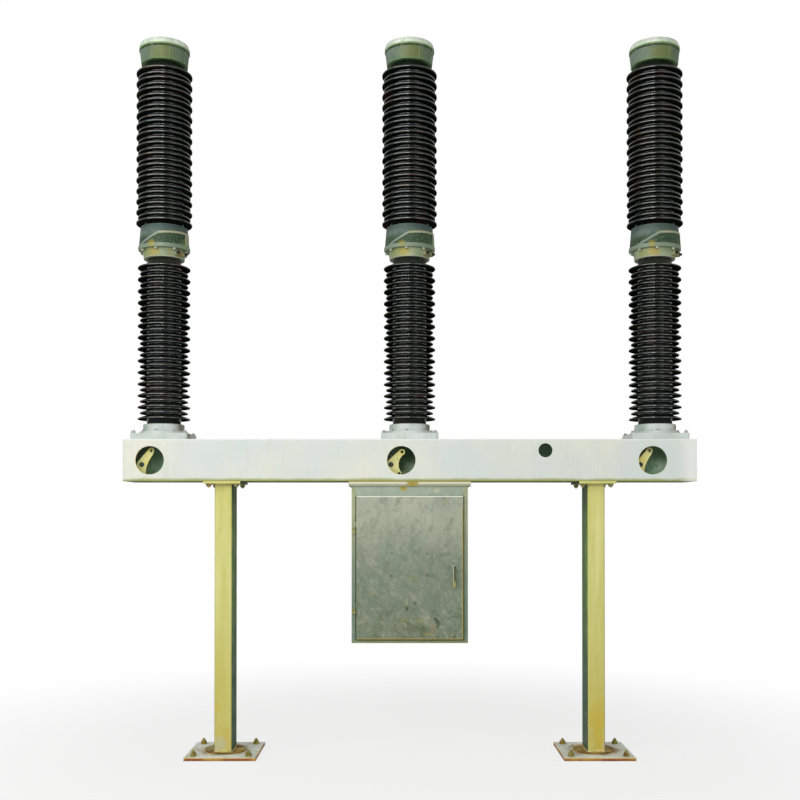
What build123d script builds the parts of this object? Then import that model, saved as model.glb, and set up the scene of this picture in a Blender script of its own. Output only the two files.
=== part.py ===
from build123d import *
import os
from math import cos, radians, sin, tan

# Three-pole gas insulated circuit breaker on a box beam with two legs.
# Millimetres, +Z up, +X to the right seen from the cabinet side, origin on the ground
# midway between the two feet.

# Layout
pole_spacing = 1700.0
leg_inside_pole = 430.0
beam_underside = 1870.0

# Box beam
beam_end_past_pole = 240.0
beam_depth = 350.0
beam_height = 285.0
beam_sheet = 8.0
beam_lip_width = 80.0
beam_closed_end = 110.0
window_diameter = 192.0
window_left_of_pole = 57.0
window_above_underside = 141.0
cable_hole_diameter = 95.0
cable_hole_x = 917.0
cable_hole_above_underside = 208.0

# Legs and feet
leg_width = 120.0
leg_depth = 220.0
leg_wall = 8.0
leg_corner_radius = 12.0
leg_top_plate_width = 250.0
leg_top_plate_depth = 350.0
leg_top_plate_thickness = 16.0
leg_top_bolt_x = 95.0
leg_top_bolt_y = 135.0
leg_top_bolt_hole = 22.0
foot_width = 480.0
foot_depth = 500.0
foot_thickness = 20.0
anchor_x = 185.0
anchor_y = 190.0
anchor_hole = 28.0
foot_disc_diameter = 280.0
foot_disc_thickness = 10.0
disc_slot_clearance = 0.5

# Pole base
pole_plate_width = 388.0
pole_plate_depth = 340.0
pole_plate_thickness = 42.0
pole_plate_corner = 14.0
round_flange_diameter = 329.0
round_flange_thickness = 16.0
drum_diameter = 280.0
drum_height = 51.0
drum_fillet = 8.0

# Lower insulator
lower_length = 1141.0
lower_core_diameter = 230.0
lower_big_shed_diameter = 357.0
lower_small_shed_diameter = 327.0
lower_shed_pitch = 80.0
lower_first_shed = 34.0
lower_shed_edge = 9.0
lower_big_sheds = 14

# Upper insulator
upper_length = 1127.0
upper_core_diameter = 262.0
upper_big_shed_diameter = 380.0
upper_small_shed_diameter = 356.0
upper_shed_pitch = 73.7
upper_first_shed = 24.0
upper_shed_edge = 13.0
upper_big_sheds = 15

# Shed slopes
shed_top_slope = 19.0
shed_under_slope = 5.0

# Neck flange with its gas fittings
neck_top_diameter = 290.0
neck_bottom_diameter = 276.0
neck_height = 57.0
gas_boss_diameter = 34.0
gas_boss_reach = 20.0
gas_boss_angles = (-18.0, -44.0)

# Interrupter housing
housing_height = 159.0
housing_lip_diameter = 352.0
housing_lip_height = 26.0
housing_foot_diameter = 342.0
housing_top_diameter = 320.0
housing_fillet = 6.0
rib_width = 14.0
rib_proud = 6.0
rib_panel_proud = 1.5
rib_left_x = -150.0
rib_corner_x = -8.0
rib_corner_height = 104.0
rib_right_height = 118.0

# Top cap
cap_drum_bottom_diameter = 312.0
cap_drum_top_diameter = 332.0
cap_drum_height = 84.0
cap_groove_height = 14.0
cap_groove_depth = 13.0
cap_rim_diameter = 344.0
cap_rim_height = 44.0
cap_rim_chamfer_height = 22.0
cap_rim_chamfer_width = 9.0
cap_ribs = 8
cap_rib_width = 26.0
cap_rib_proud = 3.0
cap_first_rib = -61.6

# Bell cranks seen through the windows
crank_left_of_pole = 127.0
crank_above_underside = 115.0
crank_thickness = 12.0
crank_behind_sheet = 62.0
crank_upper_arm = 115.0
crank_lower_arm = 83.0
crank_upper_end_radius = 20.0
crank_lower_end_radius = 17.0
crank_hub_radius = 34.0
crank_pin_hole = 20.0
crank_angles = {"left": (56.0, -90.0), "middle": (49.0, -49.0), "right": (56.0, -90.0)}
crank_waist = {"left": 36.0, "middle": 52.0, "right": 36.0}
crank_cut_radius = {"left": 240.0, "middle": 86.0, "right": 240.0}
shaft_diameter = 30.0
shaft_clearance = 0.5
shaft_proud = 4.0
crank_gap = 6.0
bearing_diameter = 62.0
bearing_length = 46.0
bracket_thickness = 14.0
bracket_width = 96.0
bracket_foot_depth = 70.0
shaft_end_reach = 8.0

# Mechanism cabinet
cabinet_width = 786.0
cabinet_bottom = 776.0
cabinet_front = -165.0
cabinet_back = 248.0
cabinet_sheet = 3.0
cabinet_frame = 44.0
hood_width = 826.0
hood_skirt = 35.0
hood_sheet = 3.0
hood_front_reach = 12.0

# Cabinet door
door_width = 720.0
door_height = 966.0
door_below_beam = 101.0
door_depth = 20.0
door_sheet = 3.0
door_gap = 5.0
door_corner = 6.0
hinge_diameter = 18.0
hinge_length = 80.0
hinge_side_gap = 4.0
hinge_from_edge = 212.0
hinge_leaf_thickness = 4.0
hinge_leaf_width = 14.0

# Door handle
handle_x = 299.0
handle_below_door_top = 475.0
handle_length = 132.0
handle_plate_diameter = 58.0
handle_plate_thickness = 5.0
handle_stem_diameter = 20.0
handle_stem_length = 24.0
handle_grip_width = 22.0
handle_tip_width = 16.0
handle_grip_depth = 14.0
handle_clearance = 0.5
spindle_diameter = 14.0
spindle_reach = 14.0

# Derived heights and places
beam_top = beam_underside + beam_height
beam_length = 2 * (pole_spacing + beam_end_past_pole)
half_depth = beam_depth / 2
poles = {"left": -pole_spacing, "middle": 0.0, "right": pole_spacing}
leg_offset = pole_spacing - leg_inside_pole
legs = {"left": -leg_offset, "right": leg_offset}
pole_plate_top = beam_top + pole_plate_thickness
lower_bottom = pole_plate_top + round_flange_thickness + drum_height
lower_top = lower_bottom + lower_length
neck_top = lower_top + neck_height
upper_bottom = neck_top + housing_height
upper_top = upper_bottom + upper_length
crank_height = beam_underside + crank_above_underside
crank_front = -half_depth + beam_sheet + crank_behind_sheet
crank_back = crank_front + crank_thickness
bearing_front = crank_back + crank_gap
bearing_back = bearing_front + bearing_length
door_top = beam_underside - door_below_beam
door_bottom = door_top - door_height
door_back = cabinet_front - door_gap
door_front = door_back - door_depth
hinge_x = -door_width / 2 - hinge_side_gap - hinge_diameter / 2
hinge_y = door_front + hinge_diameter / 2
handle_height = door_top - handle_below_door_top


def block(x_range, y_range, z_range):
    """A box between two corners."""
    size = [high - low for low, high in (x_range, y_range, z_range)]
    centre = [(high + low) / 2 for low, high in (x_range, y_range, z_range)]
    return Pos(*centre) * Box(*size)


def round_bar(x, y, z, diameter, height):
    """An upright cylinder standing on z."""
    return Pos(x, y, z + height / 2) * Cylinder(diameter / 2, height)


def bar_along_y(x, z, y_front, y_back, diameter):
    """A cylinder lying along Y between two depths."""
    middle = Pos(x, (y_front + y_back) / 2, z)
    return middle * Rot(X=90) * Cylinder(diameter / 2, y_back - y_front)


def turned(points):
    """A solid of revolution about Z from radius and height pairs."""
    outline = Polyline(*[(radius, 0, height) for radius, height in points], close=True)
    return revolve(make_face(outline), axis=Axis.Z)


def save(shape, name):
    """Writes one named node."""
    export_step(shape, f"parts/{name}.step")


# Box beam
def beam_top_plate():
    """The top sheet, full length and depth."""
    return block(
        (-beam_length / 2, beam_length / 2),
        (-half_depth, half_depth),
        (beam_top - beam_sheet, beam_top),
    )


def beam_side(y_low, y_high):
    """One upright side sheet between the top sheet and the lips."""
    inner_half = beam_length / 2 - beam_sheet
    z_range = (beam_underside + beam_sheet, beam_top - beam_sheet)
    return block((-inner_half, inner_half), (y_low, y_high), z_range)


def beam_front_plate():
    """The front side sheet with a round window at each pole and one cable hole."""
    sheet = beam_side(-half_depth, -half_depth + beam_sheet)
    window_z = beam_underside + window_above_underside
    cutter_front = -half_depth - beam_sheet
    cutter_back = -half_depth + 2 * beam_sheet
    for pole_x in poles.values():
        window_x = pole_x - window_left_of_pole
        sheet -= bar_along_y(window_x, window_z, cutter_front, cutter_back, window_diameter)
    hole_z = beam_underside + cable_hole_above_underside
    sheet -= bar_along_y(cable_hole_x, hole_z, cutter_front, cutter_back, cable_hole_diameter)
    return sheet


def beam_bottom_lips():
    """The two lips turned in along the open underside."""
    inner_half = beam_length / 2 - beam_sheet
    z_range = (beam_underside, beam_underside + beam_sheet)
    front = block((-inner_half, inner_half), (-half_depth, -half_depth + beam_lip_width), z_range)
    back = block((-inner_half, inner_half), (half_depth - beam_lip_width, half_depth), z_range)
    return Compound([front, back])


def beam_bottom_closers():
    """The two short sheets that close the underside at the beam's ends."""
    inner_half = beam_length / 2 - beam_sheet
    opening_half = beam_length / 2 - beam_closed_end
    lip_edge = half_depth - beam_lip_width
    z_range = (beam_underside, beam_underside + beam_sheet)
    left = block((-inner_half, -opening_half), (-lip_edge, lip_edge), z_range)
    right = block((opening_half, inner_half), (-lip_edge, lip_edge), z_range)
    return Compound([left, right])


def beam_end_plates():
    """The two plates that close the ends of the beam."""
    z_range = (beam_underside, beam_top - beam_sheet)
    outer = beam_length / 2
    left = block((-outer, -outer + beam_sheet), (-half_depth, half_depth), z_range)
    right = block((outer - beam_sheet, outer), (-half_depth, half_depth), z_range)
    return Compound([left, right])


# Legs
def leg_tube(leg_x):
    """A rectangular hollow section with rounded corners, from foot to top plate."""
    inner_radius = leg_corner_radius - leg_wall
    section = RectangleRounded(leg_width, leg_depth, leg_corner_radius)
    section -= RectangleRounded(leg_width - 2 * leg_wall, leg_depth - 2 * leg_wall, inner_radius)
    length = beam_underside - leg_top_plate_thickness - foot_thickness
    return Pos(leg_x, 0, foot_thickness) * extrude(section, amount=length)


def leg_top_plate(leg_x):
    """The plate welded on the leg and bolted under the beam's lips."""
    plate = block(
        (leg_x - leg_top_plate_width / 2, leg_x + leg_top_plate_width / 2),
        (-leg_top_plate_depth / 2, leg_top_plate_depth / 2),
        (beam_underside - leg_top_plate_thickness, beam_underside),
    )
    for x_sign in (-1, 1):
        for y_sign in (-1, 1):
            x = leg_x + x_sign * leg_top_bolt_x
            y = y_sign * leg_top_bolt_y
            cutter_base = beam_underside - 2 * leg_top_plate_thickness
            plate -= round_bar(x, y, cutter_base, leg_top_bolt_hole, 3 * leg_top_plate_thickness)
    return plate


def foot_plate(leg_x):
    """The base plate with a hole for an anchor bolt near each corner."""
    plate = block(
        (leg_x - foot_width / 2, leg_x + foot_width / 2),
        (-foot_depth / 2, foot_depth / 2),
        (0, foot_thickness),
    )
    for x_sign in (-1, 1):
        for y_sign in (-1, 1):
            x = leg_x + x_sign * anchor_x
            y = y_sign * anchor_y
            plate -= round_bar(x, y, -foot_thickness, anchor_hole, 3 * foot_thickness)
    return plate


def foot_disc(leg_x):
    """The round doubler on the foot, cut out where the leg passes through it."""
    slot = RectangleRounded(
        leg_width + 2 * disc_slot_clearance,
        leg_depth + 2 * disc_slot_clearance,
        leg_corner_radius + disc_slot_clearance,
    )
    disc = extrude(Circle(foot_disc_diameter / 2) - slot, amount=foot_disc_thickness)
    return Pos(leg_x, 0, foot_thickness) * disc


# Poles
def pole_base_plate(pole_x):
    """The thick plate with rounded corners that carries one pole."""
    outline = RectangleRounded(pole_plate_width, pole_plate_depth, pole_plate_corner)
    return Pos(pole_x, 0, beam_top) * extrude(outline, amount=pole_plate_thickness)


def pole_bottom_flange(pole_x):
    """The casting under the lower insulator: a round flange with a drum on it."""
    flange = round_flange_diameter / 2
    drum = drum_diameter / 2
    top = round_flange_thickness + drum_height
    shape = turned(
        [
            (0, 0),
            (flange, 0),
            (flange, round_flange_thickness),
            (drum + drum_fillet, round_flange_thickness),
            (drum, round_flange_thickness + drum_fillet),
            (drum, top - drum_fillet / 2),
            (drum - drum_fillet / 2, top),
            (0, top),
        ]
    )
    return Pos(pole_x, 0, pole_plate_top) * shape


def shed_corners(core, shed, low_z, edge):
    """The corners of one shed in its section, from its root below to its root above."""
    overhang = shed - core
    root_below = low_z + overhang * tan(radians(shed_under_slope))
    root_above = low_z + edge + overhang * tan(radians(shed_top_slope))
    return [(core, root_below), (shed, low_z), (shed, low_z + edge), (core, root_above)]


def insulator(core, big_shed, small_shed, pitch, first_shed, edge, big_sheds, length):
    """A shed insulator of stated radii: a small shed midway between each two big ones."""
    points = [(0, 0), (core, 0)]
    for index in range(2 * big_sheds - 1):
        shed = small_shed if index % 2 else big_shed
        points += shed_corners(core, shed, first_shed + index * pitch / 2, edge)
    points += [(core, length), (0, length)]
    return turned(points)


def lower_insulator(pole_x):
    """The support insulator between the beam and the housing."""
    shape = insulator(
        lower_core_diameter / 2,
        lower_big_shed_diameter / 2,
        lower_small_shed_diameter / 2,
        lower_shed_pitch,
        lower_first_shed,
        lower_shed_edge,
        lower_big_sheds,
        lower_length,
    )
    return Pos(pole_x, 0, lower_bottom) * shape


def upper_insulator(pole_x):
    """The insulator around the interrupter."""
    shape = insulator(
        upper_core_diameter / 2,
        upper_big_shed_diameter / 2,
        upper_small_shed_diameter / 2,
        upper_shed_pitch,
        upper_first_shed,
        upper_shed_edge,
        upper_big_sheds,
        upper_length,
    )
    return Pos(pole_x, 0, upper_bottom) * shape


def neck_flange(pole_x):
    """The tapered neck on the lower insulator, with two gas fitting bosses."""
    top = neck_top_diameter / 2
    bottom = neck_bottom_diameter / 2
    shape = turned([(0, 0), (bottom, 0), (top, neck_height), (0, neck_height)])
    reach = top + gas_boss_reach
    boss = Pos(reach / 2, 0, neck_height / 2) * Rot(Y=90) * Cylinder(gas_boss_diameter / 2, reach)
    for angle in gas_boss_angles:
        shape += Rot(Z=angle) * boss
    return Pos(pole_x, 0, lower_top) * shape


def housing_layer(outline, proud):
    """The front of the housing inside an outline in the XZ plane, raised by a given amount."""
    front = Rot(X=90) * extrude(outline, amount=housing_foot_diameter)
    foot = housing_foot_diameter / 2 + proud
    top = housing_top_diameter / 2 + proud
    shell = turned([(0, 0), (foot, 0), (top, housing_height), (0, housing_height)])
    return front & shell


def housing_rib():
    """The raised rib that climbs from the lip at the left, steps and runs on to the right."""
    right_x = housing_foot_diameter / 2
    corners = [
        (rib_left_x, 0),
        (right_x, 0),
        (right_x, rib_right_height),
        (rib_corner_x, rib_corner_height),
        (rib_left_x, housing_lip_height),
    ]
    outline = make_face(Polyline(*corners, close=True))
    inside = offset(outline, amount=-rib_width, kind=Kind.INTERSECTION)
    return housing_layer(outline - inside, rib_proud) + housing_layer(inside, rib_panel_proud)


def interrupter_housing(pole_x):
    """The cast housing between the two insulators, with its lip and raised rib."""
    lip = housing_lip_diameter / 2
    foot = housing_foot_diameter / 2
    top = housing_top_diameter / 2
    shape = turned(
        [
            (0, 0),
            (lip - housing_fillet, 0),
            (lip, housing_fillet),
            (lip, housing_lip_height),
            (foot, housing_lip_height),
            (top, housing_height),
            (0, housing_height),
        ]
    )
    shape += housing_rib()
    return Pos(pole_x, 0, neck_top) * shape


def top_cap(pole_x):
    """The cap on the upper insulator: a tapered drum, a groove bridged by ribs, and a rim."""
    bottom = cap_drum_bottom_diameter / 2
    top = cap_drum_top_diameter / 2
    rim = cap_rim_diameter / 2
    groove = top - cap_groove_depth
    rim_low = cap_drum_height + cap_groove_height
    rim_high = rim_low + cap_rim_height
    shape = turned(
        [
            (0, 0),
            (bottom, 0),
            (top, cap_drum_height),
            (groove, cap_drum_height),
            (groove, rim_low),
            (rim, rim_low),
            (rim, rim_high - cap_rim_chamfer_height),
            (rim - cap_rim_chamfer_width, rim_high),
            (0, rim_high),
        ]
    )
    proud = cap_rib_proud
    section = [(groove / 2, 0), (bottom + proud, 0), (top + proud, rim_low), (groove / 2, rim_low)]
    rib = Rot(X=90) * extrude(make_face(Polyline(*section, close=True)), amount=cap_rib_width / 2, both=True)
    for index in range(cap_ribs):
        shape += Rot(Z=cap_first_rib + index * 360 / cap_ribs) * rib
    return Pos(pole_x, 0, upper_top) * shape


# Bell cranks
def polar(length, angle):
    """A place at a length and an angle in degrees from the hub."""
    return Pos(length * cos(radians(angle)), length * sin(radians(angle)))


def crank_plate(side):
    """The outline of one bell crank round its hub, hollowed between the two arms."""
    upper_angle, lower_angle = crank_angles[side]
    upper_pin = polar(crank_upper_arm, upper_angle)
    lower_pin = polar(crank_lower_arm, lower_angle)
    hub = Circle(crank_hub_radius)
    upper_end = upper_pin * Circle(crank_upper_end_radius)
    lower_end = lower_pin * Circle(crank_lower_end_radius)
    plate = make_hull(hub.edges() + upper_end.edges() + lower_end.edges())
    cut_radius = crank_cut_radius[side]
    middle_angle = (upper_angle + lower_angle) / 2
    plate -= polar(crank_waist[side] + cut_radius, middle_angle) * Circle(cut_radius)
    pin_hole = Circle(crank_pin_hole / 2)
    return plate - upper_pin * pin_hole - lower_pin * pin_hole


def crank_lever(side):
    """The flat bell crank with its pin holes, on its shaft."""
    plate = extrude(crank_plate(side), amount=crank_thickness / 2, both=True)
    hub_x = poles[side] - crank_left_of_pole
    middle_y = (crank_front + crank_back) / 2
    lever = Pos(hub_x, middle_y, crank_height) * Rot(X=90) * plate
    shaft_front = crank_front - shaft_proud
    shaft_back = bearing_back + shaft_end_reach
    lever += bar_along_y(hub_x, crank_height, shaft_front, shaft_back, shaft_diameter)
    return lever


def crank_bracket(side):
    """The bearing for the crank shaft, on a plate hung under the top sheet."""
    hub_x = poles[side] - crank_left_of_pole
    under_top = beam_top - beam_sheet
    plate_back = bearing_front + (bearing_length + bracket_thickness) / 2
    plate_front = plate_back - bracket_thickness
    x_range = (hub_x - bracket_width / 2, hub_x + bracket_width / 2)
    web = block(x_range, (plate_front, plate_back), (crank_height, under_top))
    foot_range = (plate_front, plate_front + bracket_foot_depth)
    foot = block(x_range, foot_range, (under_top - bracket_thickness, under_top))
    bearing = bar_along_y(hub_x, crank_height, bearing_front, bearing_back, bearing_diameter)
    round_end = bar_along_y(hub_x, crank_height, plate_front, plate_back, bracket_width)
    shape = web + foot + round_end + bearing
    bore = shaft_diameter + 2 * shaft_clearance
    past = bearing_length
    shape -= bar_along_y(hub_x, crank_height, bearing_front - past, bearing_back + past, bore)
    return shape


# Mechanism cabinet
def cabinet_shell():
    """The sheet cabinet, open in front inside a frame that the door closes on."""
    half = cabinet_width / 2
    top = beam_underside - hood_sheet
    shell = block((-half, half), (cabinet_front, cabinet_back), (cabinet_bottom, top))
    shell -= block(
        (-half + cabinet_sheet, half - cabinet_sheet),
        (cabinet_front + cabinet_sheet, cabinet_back - cabinet_sheet),
        (cabinet_bottom + cabinet_sheet, top - cabinet_sheet),
    )
    doorway_half = door_width / 2 - cabinet_frame / 2
    shell -= block(
        (-doorway_half, doorway_half),
        (cabinet_front - cabinet_sheet, cabinet_front + 2 * cabinet_sheet),
        (door_bottom + cabinet_frame / 2, door_top - cabinet_frame / 2),
    )
    return shell


def cabinet_hood():
    """The folded rain hood: a top sheet under the beam with a skirt round the cabinet."""
    half = hood_width / 2
    front = cabinet_front - hood_front_reach
    z_low = beam_underside - hood_skirt
    hood = block((-half, half), (front, cabinet_back), (z_low, beam_underside))
    hood -= block(
        (-half + hood_sheet, half - hood_sheet),
        (front + hood_sheet, cabinet_back + hood_sheet),
        (z_low - hood_sheet, beam_underside - hood_sheet),
    )
    return hood


def cabinet_door():
    """The pan-shaped door with its edges folded back."""
    half = door_width / 2
    outline = RectangleRounded(door_width, door_height, door_corner)
    pan = extrude(outline, amount=door_depth)
    pocket = RectangleRounded(
        door_width - 2 * door_sheet,
        door_height - 2 * door_sheet,
        door_corner - door_sheet,
    )
    pan -= Pos(0, 0, -door_sheet) * extrude(pocket, amount=door_depth)
    centre_z = (door_top + door_bottom) / 2
    door = Pos(0, door_back, centre_z) * Rot(X=90) * pan
    bore = spindle_diameter + 2 * handle_clearance
    past_door = door_front - door_depth
    door -= bar_along_y(handle_x, handle_height, past_door, door_back, bore)
    knuckle_gap = hinge_side_gap + hinge_diameter / 2
    for z in hinge_heights():
        leaf_z = (z, z + hinge_length / 2)
        leaf_y = (hinge_y - hinge_leaf_thickness / 2, hinge_y + hinge_leaf_thickness / 2)
        door += block((-half - knuckle_gap, -half + door_sheet), leaf_y, leaf_z)
        door += round_bar(hinge_x, hinge_y, z, hinge_diameter, hinge_length / 2)
    return door


def hinge_heights():
    """The middle of each hinge."""
    return door_bottom + hinge_from_edge, door_top - hinge_from_edge


def door_hinges():
    """The lower knuckles of the hinges with their leaves on the cabinet's frame."""
    solids = []
    for z in hinge_heights():
        knuckle_z = z - hinge_length / 2
        knuckle_height = hinge_length / 2 - shaft_clearance
        knuckle = round_bar(hinge_x, hinge_y, knuckle_z, hinge_diameter, knuckle_height)
        leaf = block(
            (hinge_x - hinge_leaf_width, hinge_x),
            (hinge_y - hinge_leaf_thickness / 2, cabinet_front),
            (knuckle_z, knuckle_z + knuckle_height),
        )
        solids.append(knuckle + leaf)
    return Compound(solids)


def door_handle():
    """The lever handle on its round escutcheon, hanging straight down when locked."""
    plate_front = door_front - handle_clearance - handle_plate_thickness
    stem_front = plate_front - handle_stem_length
    plate = bar_along_y(
        handle_x, handle_height, plate_front, door_front - handle_clearance, handle_plate_diameter
    )
    stem = bar_along_y(handle_x, handle_height, stem_front, plate_front, handle_stem_diameter)
    hub = Circle(handle_grip_width / 2)
    tip = Pos(0, -handle_length) * Circle(handle_tip_width / 2)
    outline = make_hull(hub.edges() + tip.edges())
    grip = Pos(handle_x, stem_front, handle_height) * Rot(X=90) * extrude(outline, amount=handle_grip_depth)
    spindle_back = door_front + door_sheet + spindle_reach
    spindle = bar_along_y(handle_x, handle_height, plate_front, spindle_back, spindle_diameter)
    return plate + stem + grip + spindle


os.makedirs("parts", exist_ok=True)

save(beam_top_plate(), "beam_top_plate")
save(beam_front_plate(), "beam_front_plate")
save(beam_side(half_depth - beam_sheet, half_depth), "beam_back_plate")
save(beam_bottom_lips(), "beam_bottom_lips")
save(beam_bottom_closers(), "beam_bottom_closers")
save(beam_end_plates(), "beam_end_plates")

for side, leg_x in legs.items():
    save(leg_tube(leg_x), f"leg_tube_{side}")
    save(leg_top_plate(leg_x), f"leg_top_plate_{side}")
    save(foot_plate(leg_x), f"foot_plate_{side}")
save(Compound([foot_disc(leg_x) for leg_x in legs.values()]), "foot_discs")

for side, pole_x in poles.items():
    save(pole_base_plate(pole_x), f"pole_base_plate_{side}")
    save(pole_bottom_flange(pole_x), f"pole_bottom_flange_{side}")
    save(lower_insulator(pole_x), f"lower_insulator_{side}")
    save(neck_flange(pole_x), f"neck_flange_{side}")
    save(interrupter_housing(pole_x), f"interrupter_housing_{side}")
    save(upper_insulator(pole_x), f"upper_insulator_{side}")
    save(top_cap(pole_x), f"top_cap_{side}")
    save(crank_bracket(side), f"crank_bracket_{side}")
    save(crank_lever(side), f"crank_lever_{side}")

save(cabinet_shell(), "cabinet_shell")
save(cabinet_hood(), "cabinet_hood")
save(cabinet_door(), "cabinet_door")
save(door_hinges(), "door_hinges")
save(door_handle(), "door_handle")
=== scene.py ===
import math
import random

import bmesh
import bpy
from mathutils import Matrix, Vector


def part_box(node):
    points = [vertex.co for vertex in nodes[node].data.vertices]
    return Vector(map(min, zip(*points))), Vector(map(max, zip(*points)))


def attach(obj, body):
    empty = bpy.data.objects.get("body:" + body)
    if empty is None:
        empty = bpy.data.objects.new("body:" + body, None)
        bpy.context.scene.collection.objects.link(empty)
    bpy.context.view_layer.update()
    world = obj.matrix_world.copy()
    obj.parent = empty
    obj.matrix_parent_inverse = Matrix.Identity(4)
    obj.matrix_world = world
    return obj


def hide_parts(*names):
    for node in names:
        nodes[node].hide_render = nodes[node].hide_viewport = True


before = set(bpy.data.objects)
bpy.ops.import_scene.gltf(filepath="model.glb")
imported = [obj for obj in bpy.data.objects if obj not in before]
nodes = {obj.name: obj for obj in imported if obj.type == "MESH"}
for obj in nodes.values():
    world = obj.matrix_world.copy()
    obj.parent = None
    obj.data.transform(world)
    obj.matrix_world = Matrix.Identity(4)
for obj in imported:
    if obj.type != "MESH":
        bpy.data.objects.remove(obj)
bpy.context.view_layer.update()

SIDES = ("left", "middle", "right")

# Section of each insulator in metres, as the CAD model has it
LOWER_SHEDS = {
    "core": 0.115, "big": 0.1785, "small": 0.1635, "pitch": 0.080,
    "first": 0.034, "edge": 0.009, "count": 14,
}
UPPER_SHEDS = {
    "core": 0.131, "big": 0.190, "small": 0.178, "pitch": 0.0737,
    "first": 0.024, "edge": 0.013, "count": 15,
}
SHED_TOP_SLOPE = 19.0
SHED_UNDER_SLOPE = 5.0

# Windows and bell cranks: the middle of each beside its pole, and the pins from the hub
WINDOW = (-0.057, 2.011, 0.096)
CRANK_HUB = (-0.127, 1.985)
CRANK_PINS = {
    "left": ((0.115, 56.0), (0.083, -90.0)),
    "middle": ((0.115, 49.0), (0.083, -49.0)),
    "right": ((0.115, 56.0), (0.083, -90.0)),
}

# Bolts from the middle of their part in metres, and the angles of eight round a flange
ANCHOR_BOLTS = (0.185, 0.190)
LEG_TOP_BOLTS = (0.095, 0.135)
POLE_PLATE_BOLTS = (0.174, 0.150)
FLANGE_BOLT_RADIUS = 0.1525
NECK_BOLT_RADIUS = 0.159
BOLT_ANGLES = [math.radians(45 * index - 98) for index in range(8)]

# Details of the cabinet's door
SCREWS_X = (-0.123, 0.116)
SCREWS_Z = (1.232, 1.382)
HINGE_X = -0.373
HINGE_TOPS = (1.055, 1.597)


def middle_x(node):
    """The X of a node's middle."""
    low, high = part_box(node)
    return (low.x + high.x) / 2


def pole_x(side):
    """The X of a pole's axis."""
    return middle_x(f"lower_insulator_{side}")


POLE_SPACING = pole_x("right") - pole_x("middle")
LEG_OFFSET = middle_x("leg_tube_right")


def srgb(red, green, blue):
    """A linear colour from 0 to 255 display values."""
    return tuple((channel / 255) ** 2.2 for channel in (red, green, blue)) + (1.0,)


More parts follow.
